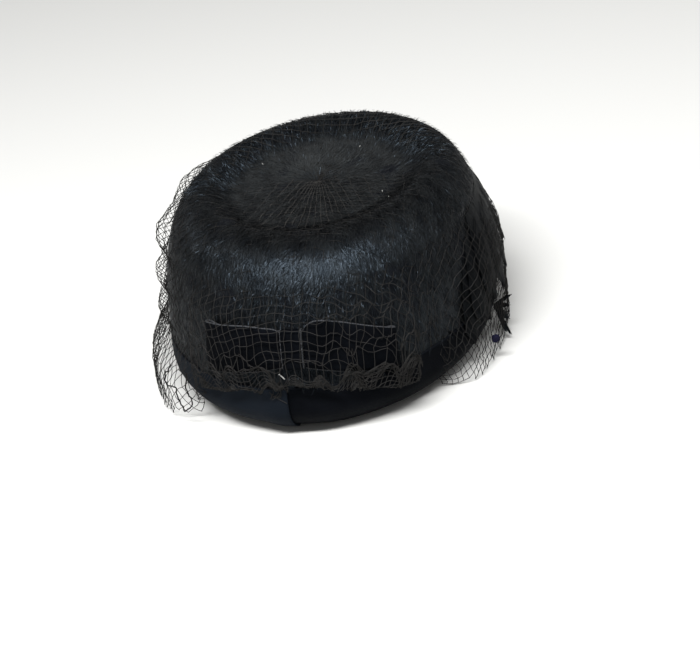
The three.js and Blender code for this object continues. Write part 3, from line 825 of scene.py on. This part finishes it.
# Spray: a few loose feather tips that stand out from under the wing, low on the wearer's right.
SPRAY_ROOT = (88.5, 0.0215, 0.0030)
SPRAY_TIPS = [
    {"angle": 88, "height": 0.0300, "off": 0.0140, "width": 0.0055},
    {"angle": 88, "height": 0.0225, "off": 0.0125, "width": 0.0060},
    {"angle": 87, "height": 0.0140, "off": 0.0122, "width": 0.0070},
    {"angle": 85, "height": 0.0055, "off": 0.0136, "width": 0.0026},
    {"angle": 84, "height": 0.0085, "off": 0.0112, "width": 0.0024},
    {"angle": 94, "height": 0.0065, "off": 0.0095, "width": 0.0045},
]
SPRAY_BARBS = 26

spray_parts = []
for row in SPRAY_TIPS:
    tip = (row["angle"], row["height"], row["off"])
    spray_parts.append(feather_parts(SPRAY_ROOT, tip, row["width"], SPRAY_BARBS, rng))
spray_points, spray_triangles = gather_parts(spray_parts)
spray = add_piece(
    "feathers_spray", spray_points, spray_triangles, FEATHER_MATERIAL, smooth=False, closed=False)
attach(spray, "root")
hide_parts("feather_spray")

# Veil: a square of knotted net laid over the whole hat and tacked at the swirl. It is drawn in and
# stitched above the band across the back, and hangs loose in puffs round the sides and the front.
NET_CELL = 0.0059
NET_REACH = 0.232
NET_REACH_BACK = 0.295
THREAD_RADIUS = 0.000235
KNOT_RADIUS = 0.00036
VEIL_OFF = 0.0007
VEIL_ON_TIP = 0.0004
VEIL_ON_CREST = 0.0010
VEIL_OVER_BOW = 0.0082
VEIL_OVER_WING = 0.0094
VEIL_PUFF_LEFT = 0.0150
VEIL_PUFF_RIGHT = 0.0096
VEIL_LOWEST = 0.0006
OVER_BOW_ENDS = (0.080, 0.069)
OVER_BOW_TOP = (0.095, 0.083)
OVER_WING_TOP = (0.098, 0.060)
PUFF_TOP = (0.050, 0.020)
LOOSE_LEFT = (-36, -47)
LOOSE_RIGHT = (50, 64)
GATHERED_LEFT = (-42, -30)
GATHERED_RIGHT = (62, 42)
TACK_PULL = 0.96
TACK_LENGTH = 0.082
TACK_WIDTH = 0.054
TACK_ASIDE = 0.010
GATHER_START = 0.183
GATHER_RATE = 0.86
SIDE_SCALLOPS = [
    {"height": 0.102, "half": 0.0075, "out": 0.0112},
    {"height": 0.079, "half": 0.006, "out": 0.0075},
    {"height": 0.056, "half": 0.006, "out": 0.0070},
]
VEIL_EDGE = [
    {"angle": -180, "height": 0.0025},
    {"angle": -100, "height": 0.0012},
    {"angle": -49, "height": 0.0010},
    {"angle": -42, "height": 0.0060},
    {"angle": -38, "height": 0.0160},
    {"angle": -34, "height": 0.0290},
    {"angle": -23, "height": 0.0315},
    {"angle": -15, "height": 0.0360},
    {"angle": -8, "height": 0.0335},
    {"angle": 0, "height": 0.0400},
    {"angle": 6, "height": 0.0380},
    {"angle": 15, "height": 0.0325},
    {"angle": 25, "height": 0.0285},
    {"angle": 35, "height": 0.0230},
    {"angle": 44, "height": 0.0200},
    {"angle": 58, "height": 0.0015},
    {"angle": 100, "height": 0.0010},
    {"angle": 180, "height": 0.0025},
]

# Tone of the net's threads: a base tone, a painted highlight over the back, paler on the far crest, a
# painted highlight on the threads drawn up to the tack and painted shade on those that cross them, and
# clouds of tone.
THREAD_BASE_TONE = 0.08
THREAD_HIGHLIGHT_BACK = 0.16
THREAD_CREST_TONE = 0.20
THREAD_FAN_LIGHT_SHADE = {"crosswise": -0.08, "lengthwise": 0.55}
THREAD_TONE_CLOUDS = {"depth": 0.07, "size": 0.02, "seed": 56}

NET_MATERIAL = shaded_material(
    "net_thread", (0.0025, 0.0023, 0.0021), (0.032, 0.0305, 0.0290),
    {"Roughness": 0.7, "Specular IOR Level": 0.15})


def table_curve(table, key, value, where):
    """A column read between its rows by smooth steps."""
    keys = np.array([row[key] for row in table])
    values = np.array([row[value] for row in table])
    after = np.clip(np.searchsorted(keys, where), 1, len(keys) - 1)
    share = ease(keys[after - 1], keys[after], where)
    return values[after - 1] + (values[after] - values[after - 1]) * share


def slack(angle):
    """How free of the wall the veil hangs: stitched down across the back, loose everywhere else."""
    turn = half_turn(angle)
    return np.where(turn < 0, ease(*LOOSE_LEFT, turn), ease(*LOOSE_RIGHT, turn))


def veil_off(angle, level):
    """Distance of the veil off the felt: close on the tip, over the bow and the wing, and out in puffs
    low on the sides and the front."""
    _, height = section(level)
    turn = half_turn(angle)
    along = np.radians(turn) * SWELL_HALF_WIDTH - BOW_MIDDLE
    over_edge = ease(0, 0.004, height - table_curve(VEIL_EDGE, "angle", "height", turn))
    bow = ease(*OVER_BOW_ENDS, np.abs(along)) * over_edge * ease(*OVER_BOW_TOP, height)
    at_wing = ease(WING_REAR - 8, WING_REAR, turn) * ease(WING_FRONT + 9, WING_FRONT, turn)
    wing = at_wing * ease(*OVER_WING_TOP, height)
    loose = VEIL_PUFF_LEFT + (VEIL_PUFF_RIGHT - VEIL_PUFF_LEFT) * (1 + np.sin(np.radians(turn))) / 2
    puff = loose * slack(angle) * ease(*PUFF_TOP, height)
    side = ease(-48, -62, turn) * ease(-150, -120, turn) * (0.75 + 0.25 * np.sin(np.radians(turn) * 9))
    scallop = 0
    for row in SIDE_SCALLOPS:
        scallop = scallop + row["out"] * np.exp(-((height - row["height"]) / row["half"]) ** 2)
    trim = np.maximum(VEIL_OVER_BOW * bow, VEIL_OVER_WING * wing)
    wall = VEIL_OFF + side * scallop + np.maximum(trim, puff)
    crest = ease(105, 130, np.abs(turn)) * ease(1.80, 1.92, level) * ease(2.22, 2.08, level)
    tip = VEIL_OFF + (VEIL_ON_TIP - VEIL_OFF) * ease(2, 2.2, level)
    return np.where(level >= 2, tip, wall) + VEIL_ON_CREST * crest


def flat_to_level(angle, distance):
    """Level that lies at a flat distance from the tack along the net, at an angle round the hat: the
    veil's own arc is measured down each of 181 meridians and read back between them."""
    meridians = np.linspace(-180, 180, 181)
    levels = np.linspace(3, 0, 301)
    off = veil_off(meridians[:, None], levels[None, :])
    surface = off_felt(meridians[:, None], levels[None, :], off, slack(meridians)[:, None])
    run = np.linalg.norm(np.diff(surface, axis=1), axis=-1)
    arc = np.concatenate([np.zeros((181, 1)), np.cumsum(run, axis=1)], 1)
    distances = np.linspace(0, 0.27, 541)
    table = np.stack([np.interp(distances, arc[i], levels) for i in range(181)])
    column = np.clip((half_turn(angle) + 180) / 2, 0, 179.999)
    row = np.clip(distance / 0.27 * 540, 0, 539.999)
    i, j = column.astype(int), row.astype(int)
    a, b = column - i, row - j
    level = (table[i, j] * (1 - a) * (1 - b) + table[i + 1, j] * a * (1 - b)
             + table[i, j + 1] * (1 - a) * b + table[i + 1, j + 1] * a * b)
    return level, distance <= arc[i, -1]


def tack_share(across, along):
    """How much the net is drawn in towards the line through the tack, falling to 0 at the tip's edge."""
    return (np.maximum(0, 1 - np.abs(along) / TACK_LENGTH) ** 1.1
            * np.exp(-((across - TACK_ASIDE) / TACK_WIDTH) ** 4))


def net_point(across, along):
    """Where a point of the flat net lies on the hat, and whether the cut net reaches there. Round the tack
    the net is drawn together, and above the band at the back it is gathered in."""
    near = tack_share(across, along)
    drawn = across * (1 - TACK_PULL * near)
    angle = np.degrees(np.arctan2(drawn * LENGTH_TO_WIDTH, -along))
    distance = np.hypot(drawn, along)
    turn = half_turn(angle)
    gather = ease(*GATHERED_LEFT, turn) * ease(*GATHERED_RIGHT, turn)
    beyond = np.maximum(0, distance - GATHER_START)
    distance = distance - GATHER_RATE * gather * beyond
    level, reached = flat_to_level(angle, distance)
    flat_place = felt_point(angle, level)
    wobble = 0.7 + 1.8 * gather * ease(1.24, 1.14, level)
    right_loop = ease(6, 14, turn) * ease(60, 50, turn) * ease(1.6, 1.4, level)
    angle = angle + 0.35 * (wobble + 1.4 * right_loop) * waves(flat_place, 0.018, 51)
    drift = 0.012 * (wobble + 1.4 * right_loop) * waves(flat_place, 0.016, 52)
    level = np.clip(level + drift * ease(3, 2.8, level), 0, 3)
    off = veil_off(angle, level) + 0.0004 * waves(flat_place, 0.013, 53) + 0.0012 * near * (along < 0)
    point = off_felt(angle, level, off, slack(angle))
    point[..., 2] = np.maximum(point[..., 2], VEIL_LOWEST)
    _, height = section(level)
    return point, reached & (height > table_curve(VEIL_EDGE, "angle", "height", half_turn(angle)))


def tubes(paths, radius, sides=3):
    """Closed tubes along many paths at once: paths has a row of points for each tube. A ring of points
    round each point, square to the path, is joined to the next, with a cap at each end."""
    count, steps_along, _ = paths.shape
    along = unit(np.gradient(paths, axis=1))
    helper = np.where(np.abs(along[..., 2:]) < 0.8, np.array([0, 0, 1.0]), np.array([1.0, 0, 0]))
    side = unit(np.cross(along, helper))
    other = np.cross(along, side)
    turn = np.arange(sides) * 2 * math.pi / sides
    radius = np.broadcast_to(radius, (count, steps_along))[..., None, None]
    rings = paths[:, :, None] + radius * (
        np.cos(turn)[:, None] * side[:, :, None] + np.sin(turn)[:, None] * other[:, :, None])
    place, edge = np.meshgrid(np.arange(steps_along - 1), np.arange(sides), indexing="ij")
    a = (place * sides + edge).ravel()
    b = (place * sides + (edge + 1) % sides).ravel()
    wall = np.concatenate([np.stack([a, b, b + sides], 1), np.stack([a, b + sides, a + sides], 1)])
    fan = np.stack([np.zeros(sides - 2, int), np.arange(1, sides - 1), np.arange(2, sides)], 1)
    caps = np.concatenate([fan[:, ::-1], fan + (steps_along - 1) * sides])
    one = np.concatenate([wall, caps])
    all_tubes = one[None] + (np.arange(count) * steps_along * sides)[:, None, None]
    return rings.reshape(-1, 3), all_tubes.reshape(-1, 3)


def half_cells(low, high):
    """Places half a cell apart along the flat net, with a knot at every second one and one at the tack."""
    return np.arange(-round(low / NET_CELL) * 2, round(high / NET_CELL) * 2 + 1) * NET_CELL / 2


def thread_light_and_shade(places, drawn_up, way):
    """How pale the net's threads are, from 0 to 1: a painted highlight over the back above the band and
    along the threads drawn up to the tack, painted shade on the threads that cross those, paler on the far
    crest and dark on the sides. The places are those of the hat without its lean."""
    angle = np.degrees(np.arctan2(places[..., 0] * LENGTH_TO_WIDTH, -places[..., 1]))
    height = places[..., 2]
    at_back = ease(52, 40, np.abs(angle - 4)) * ease(0.088, 0.078, height)
    back = at_back * (0.55 + 0.45 * ease(0.042, 0.049, height))
    on_tip = ease(0.108, 0.113, height)
    from_middle = np.hypot(places[..., 0], places[..., 1] / LENGTH_TO_WIDTH)
    high_crest = ease(0.110, 0.117, height) * ease(0.060, 0.066, from_middle)
    crest = ease(105, 130, np.abs(angle)) * high_crest
    fan = on_tip * drawn_up * THREAD_FAN_LIGHT_SHADE[way]
    clouds = THREAD_TONE_CLOUDS["depth"] * waves(places, THREAD_TONE_CLOUDS["size"], THREAD_TONE_CLOUDS["seed"])
    return np.clip(THREAD_BASE_TONE + THREAD_HIGHLIGHT_BACK * back + THREAD_CREST_TONE * crest + fan + clouds, 0, 1)


across_places, along_places = half_cells(NET_REACH, NET_REACH), half_cells(NET_REACH_BACK, NET_REACH)
across, along = np.meshgrid(across_places, along_places, indexing="ij")
net, on_hat = net_point(across, along)
drawn_up = ease(0, 0.2, tack_share(across, along)) * (along < 0)
knots_at = net[::2, ::2]
knots_on = on_hat[::2, ::2]
rng = np.random.default_rng(54)
knots_at = knots_at + rng.normal(0, 0.00022, knots_at.shape)
whole_across = knots_on[:-1] & knots_on[1:]
whole_along = knots_on[:, :-1] & knots_on[:, 1:]
crosswise = np.stack([knots_at[:-1], net[1::2, ::2], knots_at[1:]], 2)[whole_across]
lengthwise = np.stack([knots_at[:, :-1], net[::2, 1::2], knots_at[:, 1:]], 2)[whole_along]
threads = tubes(np.concatenate([crosswise, lengthwise]), THREAD_RADIUS)
upright = net - OPENING_CENTRE - LEAN * net[..., 2:]
# Shade of each thread and knot: its tone, with painted highlights and painted shade.
thread_shade = np.concatenate([
    thread_light_and_shade(upright[1::2, ::2], drawn_up[1::2, ::2], "crosswise")[whole_across],
    thread_light_and_shade(upright[::2, 1::2], drawn_up[::2, 1::2], "lengthwise")[whole_along],
])
ball_shade = 0.05 + thread_light_and_shade(upright[::2, ::2], drawn_up[::2, ::2], "lengthwise")[knots_on]
tied = knots_at[knots_on]
corner_ways = np.array([[1, 1, 1], [1, -1, -1], [-1, 1, -1], [-1, -1, 1]]) * KNOT_RADIUS
knot_balls = (tied[:, None] + corner_ways * rng.uniform(0.7, 1.1, (len(tied), 1, 1))).reshape(-1, 3)
four_faces = np.array([[0, 1, 2], [0, 3, 1], [0, 2, 3], [1, 3, 2]])
ball_triangles = (four_faces[None] + (np.arange(len(tied)) * 4)[:, None, None]).reshape(-1, 3)
veil_points, veil_triangles = gather_parts([threads, (knot_balls, ball_triangles)])
veil_shade = np.concatenate([np.repeat(thread_shade, 9), np.repeat(ball_shade, 4)])
veil = add_piece("net_veil", veil_points, veil_triangles, NET_MATERIAL, shade=veil_shade, smooth=False)
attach(veil, "root")
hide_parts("veil")

# Loose ends of the veil: the thick cut edge of the net that waves about low on the left, a knot of net
# bunched over the band under the bow, one white stitch and a few specks of pale lint in the nap.
EDGE_THREAD = [
    {"angle": -45.8, "height": 0.0390},
    {"angle": -52.5, "height": 0.0262},
    {"angle": -55.2, "height": 0.0180},
    {"angle": -52.5, "height": 0.0168},
    {"angle": -46.8, "height": 0.0220},
    {"angle": -45.2, "height": 0.0185},
    {"angle": -43.2, "height": 0.0138},
    {"angle": -41.2, "height": 0.0098},
    {"angle": -36.5, "height": 0.0185},
    {"angle": -37.2, "height": 0.0242},
    {"angle": -38.5, "height": 0.0275},
    {"angle": -37.0, "height": 0.0410},
]
EDGE_THREAD_OFF = 0.013
EDGE_THREAD_RADIUS = 0.00048
STITCH = [
    {"angle": -3.2, "height": 0.0500},
    {"angle": -2.4, "height": 0.0484},
    {"angle": -1.5, "height": 0.0465},
]
STITCH_RADIUS = 0.00040
STITCH_OFF = 0.0060
BUNCH_CENTRE = (-4.8, 0.0365)
BUNCH_SPREAD = (2.0, 0.0036)
BUNCH_OFF = 0.0030
BUNCH_THREADS = 26
LINT_OFF = 0.0022
LINT_HALF_LENGTH = 0.0006
LINT_RADIUS = 0.00028
LINT = [
    {"angle": 152, "level": 2.42},
    {"angle": 66, "level": 2.30},
    {"angle": -118, "level": 2.33},
    {"angle": -6, "level": 0.80},
    {"angle": 58, "level": 2.12},
]

edge_angle, edge_height = smooth_rows(EDGE_THREAD, ["angle", "height"], 90)
edge_line = off_felt(edge_angle, level_at(edge_height), EDGE_THREAD_OFF, 1)
edge_line = edge_line + 0.0005 * np.stack([waves(edge_line, 0.006, seed) for seed in (58, 59, 60)], -1)
rng = np.random.default_rng(57)
bunch_turn = np.linspace(0, 1, 9)
bunch_start, bunch_stop = rng.normal(0, 1, (2, BUNCH_THREADS, 2))
bunch_bow = rng.normal(0, 0.5, (BUNCH_THREADS, 2))
bunch_share = bunch_turn[None, :, None]
bunch = bunch_start[:, None] * (1 - bunch_share) + bunch_stop[:, None] * bunch_share
bunch = bunch + bunch_bow[:, None] * np.sin(math.pi * bunch_share)
bunch_angle = BUNCH_CENTRE[0] + BUNCH_SPREAD[0] * bunch[..., 0]
bunch_height = BUNCH_CENTRE[1] + BUNCH_SPREAD[1] * bunch[..., 1]
bunch_off = BUNCH_OFF + 0.0008 * rng.normal(0, 1, (BUNCH_THREADS, 1))
bunch_lines = off_felt(bunch_angle, level_at(bunch_height), bunch_off)
edge_points, edge_triangles = tubes(edge_line[None], EDGE_THREAD_RADIUS, 5)
bunch_points, bunch_triangles = tubes(bunch_lines, THREAD_RADIUS)
ends_points, ends_triangles = gather_parts([(edge_points, edge_triangles), (bunch_points, bunch_triangles)])
ends_shade = np.concatenate([np.zeros(len(edge_points)), np.full(len(bunch_points), 0.35)])
ends = add_piece("net_loose_ends", ends_points, ends_triangles, NET_MATERIAL, shade=ends_shade, smooth=False)
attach(ends, "root")

WHITE_THREAD, _, _ = clothed_material(
    "white_thread", (0.22, 0.22, 0.21), (0.46, 0.46, 0.44), 300, 2500, 0.0001, {"Roughness": 0.8})
stitch_angle, stitch_height = smooth_rows(STITCH, ["angle", "height"], 12)
stitch_line = off_felt(stitch_angle, level_at(stitch_height), STITCH_OFF)
lint_places = np.array([off_felt(row["angle"], row["level"], LINT_OFF) for row in LINT])
lint_ways = unit(rng.normal(size=(len(LINT), 3))) * LINT_HALF_LENGTH
lint_lines = np.stack([lint_places - lint_ways, lint_places, lint_places + lint_ways], 1)
white_points, white_triangles = gather_parts([
    tubes(stitch_line[None], STITCH_RADIUS, 5), tubes(lint_lines, LINT_RADIUS, 4)])
white = add_piece("white_stitch", white_points, white_triangles, WHITE_THREAD)
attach(white, "root")

# Dot: one small ball of navy chenille, stitched on to the veil low on the wearer's right.
DOT_PLACE = {"angle": 73, "height": 0.018, "off": 0.0132}
DOT_RADIUS = 0.0027
DOT_FIBRES = 900
FIBRE_LENGTH = 0.0005
FIBRE_HALF_WIDTH = 0.00006

CHENILLE_MATERIAL, _, _ = clothed_material(
    "chenille", (0.003, 0.003, 0.009), (0.008, 0.008, 0.024), 300, 2500, 0.0001,
    {"Roughness": 0.9, "Specular IOR Level": 0.1})

DOT_CENTRE = off_felt(DOT_PLACE["angle"], level_at(DOT_PLACE["height"]), DOT_PLACE["off"], 1)
rise, turn = np.meshgrid(
    np.linspace(-math.pi / 2, math.pi / 2, 13), np.arange(16) * math.pi / 8, indexing="ij")
ball = np.stack([np.cos(rise) * np.cos(turn), np.cos(rise) * np.sin(turn), np.sin(rise)], -1)
ball = DOT_CENTRE + ball * DOT_RADIUS * (1 + 0.05 * waves(ball, 0.8, 61))[..., None]
ball_corners = grid_corners(13, 16, closes=True)
rng = np.random.default_rng(62)
fibre_way = unit(rng.normal(size=(DOT_FIBRES, 3)))
fibre_side = unit(np.cross(fibre_way, unit(rng.normal(size=(DOT_FIBRES, 3))))) * FIBRE_HALF_WIDTH
fibre_root = DOT_CENTRE + fibre_way * DOT_RADIUS * 0.95
fibre_tip = fibre_root + (fibre_way + 0.5 * rng.normal(size=(DOT_FIBRES, 3))) * FIBRE_LENGTH
fibres = np.stack([fibre_root - fibre_side, fibre_root + fibre_side, fibre_tip], 1).reshape(-1, 3)
fibre_triangles = np.arange(DOT_FIBRES * 3).reshape(-1, 3)
dot_points, dot_triangles = gather_parts([(ball.reshape(-1, 3), ball_corners), (fibres, fibre_triangles)])
dot = add_piece("chenille_dot", dot_points, dot_triangles, CHENILLE_MATERIAL, closed=False)
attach(dot, "root")
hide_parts("veil_dot")
